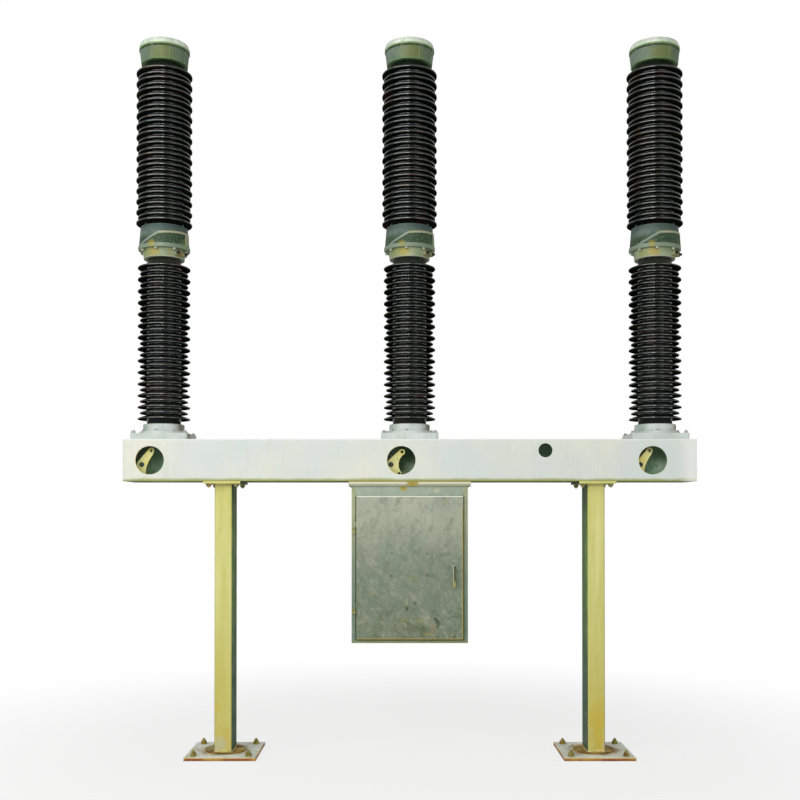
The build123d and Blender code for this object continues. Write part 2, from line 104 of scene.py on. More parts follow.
class Shader:
    """A node tree with short calls for the nodes that the materials share."""

    def __init__(self, name, metallic=0.0, specular=0.5):
        self.material = bpy.data.materials.new(name)
        self.material.use_nodes = True
        self.tree = self.material.node_tree
        self.colour = None
        self.bsdf = self.tree.nodes["Principled BSDF"]
        self.bsdf.inputs["Metallic"].default_value = metallic
        self.bsdf.inputs["Specular IOR Level"].default_value = specular
        self.coords = self.tree.nodes.new("ShaderNodeTexCoord").outputs["Object"]

    def node(self, kind, **values):
        """A new node with its properties set."""
        made = self.tree.nodes.new(kind)
        for key, value in values.items():
            setattr(made, key, value)
        return made

    def plug(self, source, target):
        """A link, or a constant value on the socket."""
        if isinstance(source, bpy.types.NodeSocket):
            self.tree.links.new(source, target)
        else:
            target.default_value = source

    def stretched(self, scale, slant=0):
        """Object coordinates turned about Y by an angle in degrees, then scaled per axis."""
        turn = self.node("ShaderNodeMapping")
        self.plug(self.coords, turn.inputs["Vector"])
        turn.inputs["Rotation"].default_value = (0, math.radians(slant), 0)
        mapping = self.node("ShaderNodeMapping")
        self.plug(turn.outputs["Vector"], mapping.inputs["Vector"])
        mapping.inputs["Scale"].default_value = scale
        return mapping.outputs["Vector"]

    def noise(self, scale, detail=4.0, rough=0.55, stretch=None, distortion=0.0, slant=0):
        """Fractal noise over the object, from 0 to 1."""
        made = self.node("ShaderNodeTexNoise")
        vector = self.stretched(stretch, slant) if stretch else self.coords
        self.plug(vector, made.inputs["Vector"])
        made.inputs["Scale"].default_value = scale
        made.inputs["Detail"].default_value = detail
        made.inputs["Roughness"].default_value = rough
        made.inputs["Distortion"].default_value = distortion
        return made.outputs["Fac"]

    def patches(self, scale, low=0.35, high=0.65, **more):
        """Noise with its contrast raised, from 0 to 1."""
        return self.span(self.noise(scale, **more), low, high)

    def cells(self, scale):
        """The distance to the nearest cell's middle."""
        made = self.node("ShaderNodeTexVoronoi")
        self.plug(self.coords, made.inputs["Vector"])
        made.inputs["Scale"].default_value = scale
        return made.outputs["Distance"]

    def span(self, value, low, high, to_low=0.0, to_high=1.0):
        """A value mapped from one range to another and held inside it."""
        made = self.node("ShaderNodeMapRange", interpolation_type="SMOOTHSTEP")
        self.plug(value, made.inputs["Value"])
        made.inputs["From Min"].default_value = low
        made.inputs["From Max"].default_value = high
        made.inputs["To Min"].default_value = to_low
        made.inputs["To Max"].default_value = to_high
        return made.outputs["Result"]

    def maths(self, operation, first, second=0.0):
        """One arithmetic step."""
        made = self.node("ShaderNodeMath", operation=operation)
        self.plug(first, made.inputs[0])
        self.plug(second, made.inputs[1])
        return made.outputs[0]

    def times(self, *values):
        """The product of some values."""
        result = values[0]
        for value in values[1:]:
            result = self.maths("MULTIPLY", result, value)
        return result

    def blend(self, factor, first, second):
        """Two colours mixed, each a socket or 0 to 255 display values."""
        made = self.node("ShaderNodeMix", data_type="RGBA")
        for value, index in ((factor, 0), (first, 6), (second, 7)):
            self.plug(srgb(*value) if isinstance(value, tuple) else value, made.inputs[index])
        return made.outputs[2]

    def paint(self, tone, *masks):
        """Lays a tone over the colour, as strongly as the product of some masks."""
        self.colour = self.blend(self.times(*masks), self.colour, tone)

    def axis(self, name):
        """One object coordinate in metres."""
        split = self.node("ShaderNodeSeparateXYZ")
        self.plug(self.coords, split.inputs[0])
        return split.outputs[name]

    def joined(self, x, y, z):
        """A vector from three values."""
        join = self.node("ShaderNodeCombineXYZ")
        for index, value in enumerate((x, y, z)):
            self.plug(value, join.inputs[index])
        return join.outputs[0]

    def beside(self, spacing):
        """The X measured from the nearest multiple of a spacing."""
        wrap = self.node("ShaderNodeMath", operation="WRAP")
        self.plug(self.axis("X"), wrap.inputs[0])
        wrap.inputs[1].default_value = spacing / 2
        wrap.inputs[2].default_value = -spacing / 2
        return wrap.outputs[0]

    def at_pole(self):
        """Coordinates whose X is measured from the nearest pole."""
        return self.joined(self.beside(POLE_SPACING), self.axis("Y"), self.axis("Z"))

    def facing(self, name):
        """One part of the surface normal in the scene's axes."""
        geometry = self.node("ShaderNodeNewGeometry")
        split = self.node("ShaderNodeSeparateXYZ")
        self.plug(geometry.outputs["True Normal"], split.inputs[0])
        return split.outputs[name]

    def edges(self, radius, low=0.01, high=0.12):
        """1 along sharp edges and 0 on flat faces."""
        bevel = self.node("ShaderNodeBevel", samples=6)
        bevel.inputs["Radius"].default_value = radius
        geometry = self.node("ShaderNodeNewGeometry")
        dot = self.node("ShaderNodeVectorMath", operation="DOT_PRODUCT")
        self.plug(bevel.outputs["Normal"], dot.inputs[0])
        self.plug(geometry.outputs["True Normal"], dot.inputs[1])
        return self.span(self.maths("SUBTRACT", 1.0, dot.outputs["Value"]), low, high)

    def apart(self, coords, place):
        """The distance of some coordinates from a place."""
        distance = self.node("ShaderNodeVectorMath", operation="DISTANCE")
        self.plug(coords, distance.inputs[0])
        distance.inputs[1].default_value = place
        return distance.outputs["Value"]

    def ball(self, place, radius, soft=0.3, coords=None, ragged=0.35):
        """1 inside a ragged ball at a place in metres, fading to 0 at its radius."""
        wobble = self.maths("SUBTRACT", self.noise(0.9 / radius, 5.0, 0.6), 0.5)
        reach = self.times(wobble, 2 * ragged * radius)
        value = self.maths("ADD", self.apart(coords or self.coords, place), reach)
        return self.span(value, radius * soft, radius, 1.0, 0.0)

    def smear(self, x, z, half_x, half_z, slant):
        """1 inside a ragged ellipse on the front, its halves in metres, turned in degrees."""
        shift = self.node("ShaderNodeMapping")
        self.plug(self.coords, shift.inputs["Vector"])
        shift.inputs["Location"].default_value = (-x, 0, -z)
        spun = self.node("ShaderNodeVectorRotate", rotation_type="Y_AXIS")
        self.plug(shift.outputs["Vector"], spun.inputs["Vector"])
        spun.inputs["Angle"].default_value = math.radians(slant)
        mapping = self.node("ShaderNodeMapping")
        self.plug(spun.outputs["Vector"], mapping.inputs["Vector"])
        mapping.inputs["Scale"].default_value = (1 / half_x, 0.0, 1 / half_z)
        wobble = self.times(self.maths("SUBTRACT", self.noise(55.0, 5.0, 0.65), 0.5), 2.4)
        value = self.maths("ADD", self.apart(mapping.outputs["Vector"], (0, 0, 0)), wobble)
        # Only the outer face of the door, and the frame and hood above it
        front = self.span(self.axis("Y"), -0.16, -0.15, 1.0, 0.0)
        above_door = self.span(self.axis("Z"), 1.769, 1.771)
        outside = self.maths("MAXIMUM", self.span(self.axis("Y"), -0.1895, -0.189, 1.0, 0.0), above_door)
        return self.times(self.span(value, 0.3, 1.3, 1.0, 0.0), front, outside)

    def bump(self, height, strength=0.3, distance=0.002, rounded=0.002):
        """Bump on the surface from a height value, over softly rounded edges."""
        bevel = self.node("ShaderNodeBevel", samples=4)
        bevel.inputs["Radius"].default_value = rounded
        made = self.node("ShaderNodeBump")
        made.inputs["Strength"].default_value = strength
        made.inputs["Distance"].default_value = distance
        self.plug(height, made.inputs["Height"])
        self.plug(bevel.outputs["Normal"], made.inputs["Normal"])
        self.plug(made.outputs["Normal"], self.bsdf.inputs["Normal"])

    def finish(self, smooth, dull, scale, detail=5.0, rough=0.55):
        """Varies the roughness, links the colour and gives the material."""
        value = self.span(self.noise(scale, detail, rough), 0.3, 0.7, smooth, dull)
        self.plug(value, self.bsdf.inputs["Roughness"])
        self.plug(self.colour, self.bsdf.inputs["Base Color"])
        return self.material


def rust(shader, scale=60.0):
    """Brown to orange rust."""
    tone = shader.patches(scale, detail=6.0, rough=0.65)
    return shader.blend(tone, (96, 52, 24), (182, 112, 44))


# Materials
def beam_paint():
    """Weathered pale grey paint, olive along the lower edge, pale green inside as painted light and darker
    towards the top as painted shade.
    """
    s = Shader("beam_paint", specular=0.35)
    s.colour = s.blend(s.patches(1.4), (222, 223, 208), (209, 217, 212))
    cloud = s.patches(6.0, 0.45, 0.75, detail=6.0, rough=0.6, stretch=(1.0, 1.0, 0.7))
    s.paint((198, 208, 200), cloud, 0.4)
    runs = s.patches(9.0, 0.52, 0.78, detail=6.0, rough=0.6, stretch=(3.0, 3.0, 0.22))
    s.paint((196, 198, 178), runs, 0.3)
    specks = s.patches(95.0, 0.68, 0.8, detail=3.0)
    s.paint((166, 168, 146), specks, 0.35)
    ragged = s.maths("SUBTRACT", s.axis("Z"), s.times(s.noise(7.0, 5.0), 0.022))
    s.paint((158, 164, 96), s.span(ragged, 1.862, 1.886, 1.0, 0.0))
    low_line = s.span(s.axis("Z"), 1.8705, 1.874, 1.0, 0.0)
    s.paint((92, 96, 58), low_line, 0.7)
    # Painted highlight along the top edge
    lit_top_edge = s.span(s.axis("Z"), 2.140, 2.150)
    s.paint((236, 240, 234), lit_top_edge, 0.6)
    front_low, front_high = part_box("beam_front_plate")
    sheet = front_high.y - front_low.y
    slack = 0.0002
    inner_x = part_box("beam_end_plates")[1].x - sheet + slack
    inner_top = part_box("beam_top_plate")[1].z - sheet + slack
    inner_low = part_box("beam_bottom_lips")[0].z + sheet - slack
    inside = s.times(
        s.maths("LESS_THAN", s.maths("ABSOLUTE", s.axis("Y")), slack - front_high.y),
        s.maths("LESS_THAN", s.axis("Z"), inner_top),
        s.maths("LESS_THAN", s.maths("ABSOLUTE", s.axis("X")), inner_x),
        s.maths("GREATER_THAN", s.axis("Z"), inner_low),
    )
    # Painted light and shade inside: a pale green tone, darker towards the top
    inside_tint = s.blend(s.patches(16.0, detail=6.0, rough=0.65), (160, 204, 160), (212, 238, 206))
    high = s.span(s.axis("Z"), 1.98, 2.09)
    inside_tint = s.blend(s.times(high, 0.7), inside_tint, (96, 132, 104))
    s.paint(inside_tint, inside)
    far_right = s.span(s.axis("X"), 1.80, 1.90)
    s.paint((236, 237, 231), far_right, 0.7)
    across = s.joined(s.beside(POLE_SPACING), 0.0, s.axis("Z"))
    window_x, window_z, window_radius = WINDOW
    edge = s.apart(across, (window_x, 0.0, window_z))
    rim = s.span(edge, window_radius + 0.0005, window_radius + 0.003, 1.0, 0.0)
    in_front = s.maths("LESS_THAN", s.axis("Y"), front_high.y + slack)
    left = s.span(s.beside(POLE_SPACING), window_x - 0.05, window_x, 1.0, 0.15)
    s.paint((206, 184, 92), rim, in_front, left)
    # Painted shade on the faces that look down
    under = s.span(s.facing("Z"), -0.9, -0.5, 1.0, 0.0)
    s.paint((84, 92, 70), under, 0.75)
    s.bump(s.noise(180.0, 3.0), 0.12, 0.0006)
    return s.finish(0.42, 0.62, 14.0, 5.0)


def leg_paint():
    """Khaki paint, golden in places and greyer near the foot, with painted green shade on the side faces."""
    s = Shader("leg_paint", specular=0.35)
    height = s.axis("Z")
    streaks = s.patches(8.0, detail=6.0, rough=0.6, stretch=(2.2, 2.2, 0.16))
    s.colour = s.blend(streaks, (200, 198, 114), (216, 214, 142))
    upper = s.span(height, 1.55, 1.85)
    s.paint((206, 200, 110), upper, 0.5)
    low_half = s.span(height, 0.35, 1.3, 1.0, 0.0)
    s.paint((192, 182, 88), low_half, 0.7)
    scuffs = s.patches(22.0, 0.55, 0.7, detail=6.0, rough=0.7, stretch=(1.6, 1.6, 0.5))
    s.paint((176, 178, 92), scuffs, 0.35)
    gold = s.times(
        s.patches(6.5, 0.45, 0.62, detail=5.0, rough=0.6), s.span(height, 0.2, 0.55, 1.0, 0.0)
    )
    s.paint((200, 174, 60), gold, 0.8)
    grey = s.times(s.patches(9.0, 0.48, 0.6), s.span(height, 0.05, 0.32, 1.0, 0.0))
    s.paint((192, 188, 158), grey, 0.7)
    drips = s.times(s.span(height, 0.03, 0.06, 1.0, 0.0), s.patches(40.0, 0.5, 0.58, detail=3.0))
    s.paint((232, 220, 160), drips, 0.8)
    # Painted shade on the side faces: green, darker towards the back, lower down and under the beam
    side = s.span(s.maths("ABSOLUTE", s.facing("X")), 0.6, 0.9)
    deep = s.span(s.axis("Y"), -0.09, 0.03)
    side_shade = s.blend(s.patches(9.0, 0.3, 0.7, detail=6.0), (74, 112, 52), (112, 146, 78))
    side_shade = s.blend(s.times(deep, 0.7), side_shade, (48, 86, 40))
    side_shade = s.blend(s.span(height, 0.5, 1.1, 1.0, 0.0), side_shade, (46, 84, 66))
    side_shade = s.blend(s.times(s.span(height, 1.55, 1.80), 0.8), side_shade, (24, 56, 28))
    s.paint(side_shade, side, 0.95)
    pits = s.patches(70.0, 0.67, 0.74, rough=0.6)
    s.paint(rust(s), pits, 0.5)
    # Painted shade on the faces that look down
    under = s.span(s.facing("Z"), -0.9, -0.5, 1.0, 0.0)
    s.paint((96, 96, 56), under, 0.6)
    s.bump(s.noise(150.0, 4.0), 0.15, 0.0008)
    return s.finish(0.45, 0.7, 12.0, 5.0)


def foot_steel(name="foot_steel", worn=0.0):
    """Pale grey paint, rusty along the edges and stained round the leg."""
    s = Shader(name, specular=0.3)
    s.colour = s.blend(s.patches(7.0, 0.3, 0.7, detail=6.0), (222, 227, 210), (242, 244, 234))
    stain = s.patches(6.0, 0.5, 0.68, detail=6.0, rough=0.65, distortion=0.6)
    s.paint((190, 182, 126), stain, 0.45)
    offset = s.maths("SUBTRACT", s.maths("ABSOLUTE", s.axis("X")), LEG_OFFSET)
    near_leg = s.ball((0, 0, 0), 0.215, 0.6, s.joined(offset, s.axis("Y"), 0.0), 0.35)
    tone = s.blend(s.patches(10.0, 0.4, 0.6, detail=6.0), (128, 104, 36), (206, 178, 88))
    s.paint(tone, near_leg, 0.55 + 0.4 * worn)
    brown = s.times(near_leg, s.patches(9.0, 0.5, 0.6, detail=6.0, rough=0.7))
    s.paint((142, 78, 26), brown, 0.85)
    olive = s.times(near_leg, s.patches(5.0, 0.5, 0.6), worn)
    s.paint((84, 86, 40), olive, 0.8)
    spots = s.patches(11.0, 0.58 - 0.06 * worn, 0.68, detail=7.0, rough=0.7, distortion=0.8)
    s.paint(rust(s, 45.0), spots, 0.7)
    rim = s.span(s.facing("Z"), 0.3, 0.8, 1.0, 0.0)
    side = s.blend(s.patches(4.0, 0.46, 0.56, detail=5.0), (178, 132, 46), (140, 56, 14))
    low_side = s.span(s.axis("Z"), 0.002, 0.009, 1.0, 0.0)
    side = s.blend(s.times(low_side, 0.6), side, (90, 44, 18))
    top_side = s.span(s.axis("Z"), 0.0145, 0.0165)
    side = s.blend(s.times(top_side, 0.8), side, (222, 186, 88))
    disc_side = s.blend(s.patches(12.0, 0.4, 0.6), (92, 70, 28), (150, 118, 50))
    side = s.blend(worn, side, disc_side)
    s.paint(side, rim, 0.95)
    edge = s.times(s.edges(0.010), s.patches(18.0, 0.38, 0.58, detail=5.0), 0.9 - 0.4 * worn)
    s.paint((214, 172, 80), edge)
    s.bump(s.noise(90.0, 6.0, 0.65), 0.35, 0.0015)
    return s.finish(0.5, 0.85, 18.0, 5.0)


def porcelain():
    """Dark green black glaze, brown in places, glossy above and dull beneath the sheds."""
    s = Shader("porcelain", specular=0.5)
    s.colour = s.blend(s.patches(3.0), (20, 32, 30), (34, 36, 29))
    brown = s.patches(7.0, 0.54, 0.68, detail=5.0, rough=0.6)
    s.paint((62, 40, 24), brown, 0.6)
    dust = s.times(s.span(s.facing("Z"), 0.55, 0.95), s.patches(14.0, 0.35, 0.7, detail=5.0))
    s.paint((92, 96, 84), dust, 0.25)
    gloss = s.span(s.facing("Z"), -0.6, -0.1, 0.0, 1.0)
    s.plug(gloss, s.bsdf.inputs["Specular IOR Level"])
    s.plug(gloss, s.bsdf.inputs["Coat Weight"])
    s.bsdf.inputs["Coat Roughness"].default_value = 0.12
    s.bump(s.noise(35.0, 2.0), 0.05, 0.001, 0.0)
    return s.finish(0.14, 0.26, 10.0, 5.0)


def base_alloy():
    """Pale cast alloy of the pole bases, darker at the right."""
    s = Shader("base_alloy", specular=0.4)
    s.colour = s.blend(s.patches(7.0, 0.3, 0.7, detail=6.0), (186, 196, 188), (212, 219, 214))
    runs = s.patches(16.0, 0.5, 0.72, detail=6.0, rough=0.6, stretch=(2.0, 2.0, 0.3))
    s.paint((150, 166, 150), runs, 0.35)
    for place, radius, weight, tone in (
        ((0.19, -0.10, 2.18), 0.07, 0.8, (138, 122, 92)),
        ((0.128, -0.05, 2.245), 0.06, 0.8, (116, 112, 84)),
        ((-0.12, -0.08, 2.245), 0.07, 0.6, (140, 168, 150)),
    ):
        s.paint(tone, s.ball(place, radius, 0.2, s.at_pole(), 0.5), weight)
    # Painted highlight along the edges
    s.paint((228, 232, 226), s.edges(0.004), 0.5)
    s.bump(s.noise(160.0, 5.0, 0.6), 0.2, 0.0006)
    return s.finish(0.42, 0.65, 30.0, 5.0)


def housing_alloy():
    """Grey green cast housing: dark rough panel, rib lighter as a painted highlight, light lip, golden
    stain.
    """
    s = Shader("housing_alloy", metallic=0.2, specular=0.5)
    local = s.at_pole()
    height = s.axis("Z")
    s.colour = s.blend(s.patches(14.0, 0.3, 0.7, detail=6.0), (74, 92, 84), (98, 114, 102))
    top = s.span(height, 3.55, 3.62)
    s.paint((56, 76, 72), top, 0.7)
    left = s.ball((-0.14, -0.12, 3.52), 0.12, 0.2, local)
    s.paint((120, 136, 126), left, 0.6)
    # How far the surface stands out of the tapered casting, above the lip
    out = s.apart(s.joined(s.beside(POLE_SPACING), s.axis("Y"), 0.0), (0, 0, 0))
    taper = s.maths("MULTIPLY", s.maths("SUBTRACT", height, 3.462), -0.0692)
    proud = s.maths("SUBTRACT", out, s.maths("ADD", taper, 0.171))
    above = s.span(height, 3.4885, 3.4895)
    lit_rib = s.times(s.span(proud, 0.0030, 0.0045), above)
    panel = s.times(s.span(proud, 0.0006, 0.0012), s.span(proud, 0.0020, 0.0030, 1.0, 0.0), above)
    knobs = s.cells(88.0)
    lumps = s.times(s.span(knobs, 0.25, 0.55, 1.0, 0.0), panel)
    dark = s.blend(s.span(knobs, 0.2, 0.5), (88, 110, 78), (44, 66, 42))
    s.paint(dark, panel, 0.9)
    # Painted highlight on the proud rib
    run = s.span(s.beside(POLE_SPACING), -0.05, 0.03)
    light = s.blend(run, (128, 142, 134), (172, 172, 136))
    s.paint(light, lit_rib, 0.9)
    lip = s.span(height, 3.483, 3.489, 1.0, 0.0)
    s.paint((142, 160, 132), lip, 0.6)
    gold = s.ball((-0.055, -0.165, 3.484), 0.038, 0.1, local, 0.9)
    s.paint((156, 142, 48), gold, 0.8)
    green = s.ball((0.16, -0.06, 3.48), 0.07, 0.1, local)
    s.paint((134, 166, 104), green, 0.6)
    # Painted highlight along the edges
    s.paint((176, 188, 164), s.edges(0.004, 0.01, 0.08), 0.5)
    grain = s.times(s.noise(220.0, 5.0, 0.6), 0.25)
    s.bump(s.maths("ADD", grain, lumps), 0.5, 0.002)
    return s.finish(0.42, 0.62, 30.0, 5.0)


def neck_alloy():
    """Pale green neck with golden and brown rust stains."""
    s = Shader("neck_alloy", metallic=0.15, specular=0.4)
    s.colour = s.blend(s.patches(12.0, 0.3, 0.7, detail=6.0), (138, 152, 118), (168, 178, 142))
    for place, radius, weight, tone in (
        ((-0.11, -0.10, 3.43), 0.06, 0.7, (146, 156, 92)),
        ((-0.045, -0.14, 3.442), 0.065, 0.75, (168, 150, 62)),
        ((0.12, -0.085, 3.43), 0.045, 0.8, (156, 122, 60)),
    ):
        s.paint(tone, s.ball(place, radius, 0.2, s.at_pole(), 0.5), weight)
    runs = s.patches(22.0, 0.56, 0.68, detail=6.0, rough=0.65, stretch=(2.0, 2.0, 0.3))
    s.paint((170, 140, 66), runs, 0.5)
    low = s.span(s.axis("Z"), 3.405, 3.412, 1.0, 0.0)
    s.paint((196, 204, 190), low, 0.6)
    s.bump(s.noise(180.0, 5.0, 0.6), 0.25, 0.0006)
    return s.finish(0.42, 0.65, 30.0, 5.0)


def cap_alloy():
    """Olive and blue grey drum under a pale weathered rim, its top chamfer lighter as a painted highlight.
    """
    s = Shader("cap_alloy", metallic=0.15, specular=0.45)
    height = s.axis("Z")
    s.colour = s.blend(s.patches(12.0, 0.3, 0.7, detail=6.0), (92, 112, 90), (116, 132, 108))
    left = s.span(s.beside(POLE_SPACING), -0.16, -0.06, 1.0, 0.0)
    s.paint((120, 134, 128), left, 0.5)
    olive = s.ball((0.02, -0.16, 4.79), 0.12, 0.3, s.at_pole(), 0.4)
    s.paint((106, 116, 64), olive, 0.85)
    blue = s.patches(24.0, 0.56, 0.66)
    s.paint((104, 112, 118), blue, 0.5)
    low = s.span(height, 4.750, 4.768, 1.0, 0.0)
    s.paint((96, 134, 76), low, 0.6)
    # Painted shade in the groove
    groove_shade = s.times(s.span(height, 4.831, 4.833), s.span(height, 4.844, 4.846, 1.0, 0.0))
    s.paint((42, 58, 42), groove_shade, 0.75)
    soft = s.patches(16.0, detail=5.0, rough=0.6)
    rim = s.span(height, 4.844, 4.847)
    s.paint(s.blend(soft, (122, 158, 98), (150, 178, 126)), rim)
    # Painted highlight on the top chamfer, over the pale weathered rim
    lit_top_edge = s.span(height, 4.853, 4.859)
    s.paint(s.blend(soft, (196, 210, 188), (232, 238, 226)), lit_top_edge)
    worn = s.times(s.patches(9.0, 0.55, 0.65), lit_top_edge)
    s.paint((164, 180, 156), worn, 0.5)
    # Painted highlight along the edges
    s.paint((188, 204, 176), s.edges(0.004), 0.4)
    s.bump(s.noise(160.0, 5.0, 0.6), 0.25, 0.0007)
    return s.finish(0.42, 0.62, 30.0, 5.0)


def cabinet_steel():
    """Mottled grey green sheet: cloudy, rubbed, darker below, gold on some edges."""
    s = Shader("cabinet_steel", metallic=0.15, specular=0.45)
    height, across = s.axis("Z"), s.axis("X")
    s.colour = s.blend(s.span(height, 1.25, 1.72), (118, 130, 110), (172, 175, 155))
    low = s.span(height, 0.78, 1.25, 1.0, 0.0)
    s.paint((104, 114, 88), low, 0.6)
    # Broad clouds first, then slanted wiping marks and fine grime
    for scale, start, end, stretch, slant, weight, tone in (
        (3.4, 0.50, 0.68, (1.0, 1.0, 1.0), 0, 0.35, (120, 142, 124)),
        (6.0, 0.42, 0.68, (1.0, 1.0, 1.0), 0, 0.25, (156, 160, 140)),
        (8.0, 0.50, 0.70, (1.3, 1.3, 0.6), 0, 0.4, (94, 108, 86)),
        (18.0, 0.50, 0.70, (1.0, 1.0, 0.35), 38, 0.4, (160, 166, 146)),
        (22.0, 0.50, 0.70, (1.0, 1.0, 0.35), -32, 0.4, (94, 108, 88)),
        (36.0, 0.52, 0.70, (1.0, 1.0, 0.3), 62, 0.3, (100, 112, 92)),
        (30.0, 0.54, 0.70, (1.4, 1.4, 0.16), 0, 0.22, (90, 106, 86)),
        (60.0, 0.50, 0.68, (1.0, 1.0, 0.6), 20, 0.4, (168, 174, 154)),
        (70.0, 0.52, 0.68, (1.0, 1.0, 0.6), -20, 0.2, (84, 98, 78)),
    ):
        mark = s.patches(scale, start, end, detail=6.0, rough=0.62, stretch=stretch, slant=slant)
        s.paint(tone, mark, weight)
    smudges = s.times(low, s.patches(13.0, 0.52, 0.64, detail=7.0, rough=0.7, distortion=1.0))
    s.paint((82, 94, 64), smudges, 0.75)
    for x, z, half_x, half_z, slant, weight, tone in (
        (0.176, 0.938, 0.016, 0.026, 30, 0.8, (48, 68, 44)),
        (0.190, 0.905, 0.014, 0.028, -12, 0.7, (56, 76, 50)),
        (0.155, 0.880, 0.022, 0.045, -8, 0.35, (158, 134, 104)),
        (0.061, 0.925, 0.040, 0.013, 6, 0.5, (150, 146, 70)),
        (-0.040, 0.927, 0.026, 0.018, 0, 0.5, (120, 124, 64)),
        (0.030, 0.895, 0.075, 0.014, -24, 0.45, (78, 86, 54)),
        (0.050, 0.870, 0.120, 0.022, -6, 0.4, (88, 94, 60)),
        (0.120, 0.838, 0.045, 0.011, 0, 0.4, (160, 146, 76)),
        (-0.020, 1.014, 0.014, 0.018, 0, 0.7, (50, 68, 46)),
        (-0.022, 1.052, 0.012, 0.028, 0, 0.4, (168, 172, 128)),
        (0.036, 1.048, 0.016, 0.014, 0, 0.65, (54, 70, 44)),
        (0.024, 1.215, 0.035, 0.025, 0, 0.35, (132, 136, 82)),
        (0.230, 1.375, 0.060, 0.014, 12, 0.35, (80, 92, 74)),
        (0.130, 1.235, 0.070, 0.016, -18, 0.35, (80, 92, 74)),
        (-0.245, 1.115, 0.030, 0.014, 0, 0.3, (150, 142, 96)),
        (0.250, 1.735, 0.024, 0.018, 0, 0.4, (158, 148, 92)),
        (-0.042, 1.820, 0.026, 0.018, 0, 0.95, (164, 142, 30)),
        (0.182, 1.806, 0.026, 0.014, 0, 0.9, (222, 210, 160)),
    ):
        s.paint(tone, s.smear(x, z, half_x, half_z, slant), weight)
    hood = s.span(height, 1.8345, 1.8355)
    rusted = s.maths("MAXIMUM", s.smear(0.018, 1.85, 0.042, 0.035, 0), s.span(height, 1.863, 1.867))
    hood_light = s.span(height, 1.848, 1.852)
    band = s.blend(hood_light, (150, 152, 124), (208, 207, 182))
    band = s.blend(rusted, band, (150, 132, 30))
    s.paint(band, hood, 0.95)
    header = s.times(
        s.span(height, 1.770, 1.774),
        s.span(height, 1.8345, 1.8355, 1.0, 0.0),
        s.span(s.maths("ABSOLUTE", across), 0.355, 0.36, 1.0, 0.0),
    )
    spot = s.smear(-0.042, 1.820, 0.030, 0.020, 0)
    s.paint(s.blend(spot, (146, 168, 152), (164, 142, 30)), header, 0.5)
    frame_side = s.times(s.span(s.maths("ABSOLUTE", across), 0.361, 0.363), s.maths("SUBTRACT", 1.0, hood))
    side_tone = s.blend(s.span(height, 1.0, 1.75), (116, 142, 128), (158, 166, 116))
    s.paint(side_tone, frame_side, 0.5)
    door = s.span(s.axis("Y"), -0.169, -0.167, 1.0, 0.0)
    low_edge = s.span(height, 0.809, 0.813, 1.0, 0.0)
    golden = s.times(s.maths("MAXIMUM", s.span(across, 0.350, 0.354), low_edge), door)
    golden = s.times(golden, s.maths("SUBTRACT", 1.0, hood), s.patches(9.0, 0.25, 0.5, detail=5.0))
    s.paint((158, 144, 78), golden, 0.8)
    # Painted highlight along the door's top edge
    lit_top_edge = s.times(s.span(height, 1.762, 1.764), door, s.maths("SUBTRACT", 1.0, hood))
    s.paint((238, 240, 228), lit_top_edge, 0.9)
    lower_frame = s.span(height, 0.785, 0.80, 1.0, 0.0)
    s.paint((150, 154, 92), lower_frame, 0.5)
    # Painted shade on the frame in the gap round the door
    off_door = s.maths("SUBTRACT", s.maths("ABSOLUTE", across), 0.360)
    below_door = s.maths("SUBTRACT", 0.803, height)
    gap_shade = s.span(s.maths("MAXIMUM", off_door, below_door), 0.008, 0.010, 1.0, 0.0)
    front = s.times(s.span(s.axis("Y"), -0.167, -0.166), s.span(s.axis("Y"), -0.1645, -0.1635, 1.0, 0.0))
    on_frame = s.times(front, s.span(height, 1.769, 1.771, 1.0, 0.0))
    s.paint((58, 64, 40), gap_shade, on_frame, 0.85)
    s.bump(s.noise(45.0, 5.0, 0.6), 0.1, 0.001)
    return s.finish(0.38, 0.62, 9.0, 6.0, 0.7)


def crank_zinc():
    """Yellow zinc plating, worn greenish, rusty at the edges."""
    s = Shader("crank_zinc", specular=0.5)
    s.colour = s.blend(s.patches(26.0, 0.3, 0.7, detail=5.0), (240, 226, 116), (248, 238, 158))
    s.paint((222, 236, 172), s.patches(14.0, 0.48, 0.66), 0.5)
    brown = s.patches(30.0, 0.58, 0.68, detail=6.0, rough=0.7)
    s.paint((196, 150, 70), brown, 0.5)
    s.paint((146, 118, 48), s.edges(0.004), 0.7)
    s.bump(s.noise(200.0, 4.0), 0.15, 0.0005)
    return s.finish(0.34, 0.52, 40.0, 4.0)


def bolt_steel(name, light, dark, rusty):
    """Plated fasteners with rust."""
    s = Shader(name, metallic=0.4, specular=0.5)
    s.colour = s.blend(s.patches(60.0, 0.3, 0.7), dark, light)
    spots = s.patches(24.0, 0.66 - 0.3 * rusty, 0.74 - 0.2 * rusty, detail=6.0, rough=0.7)
    s.paint(rust(s), spots, 0.85)
    # Painted highlight along the edges
    s.paint((206, 204, 178), s.edges(0.001), 0.4)
    s.bump(s.noise(260.0, 4.0), 0.2, 0.0004, 0.0008)
    return s.finish(0.35, 0.65, 50.0, 4.0)


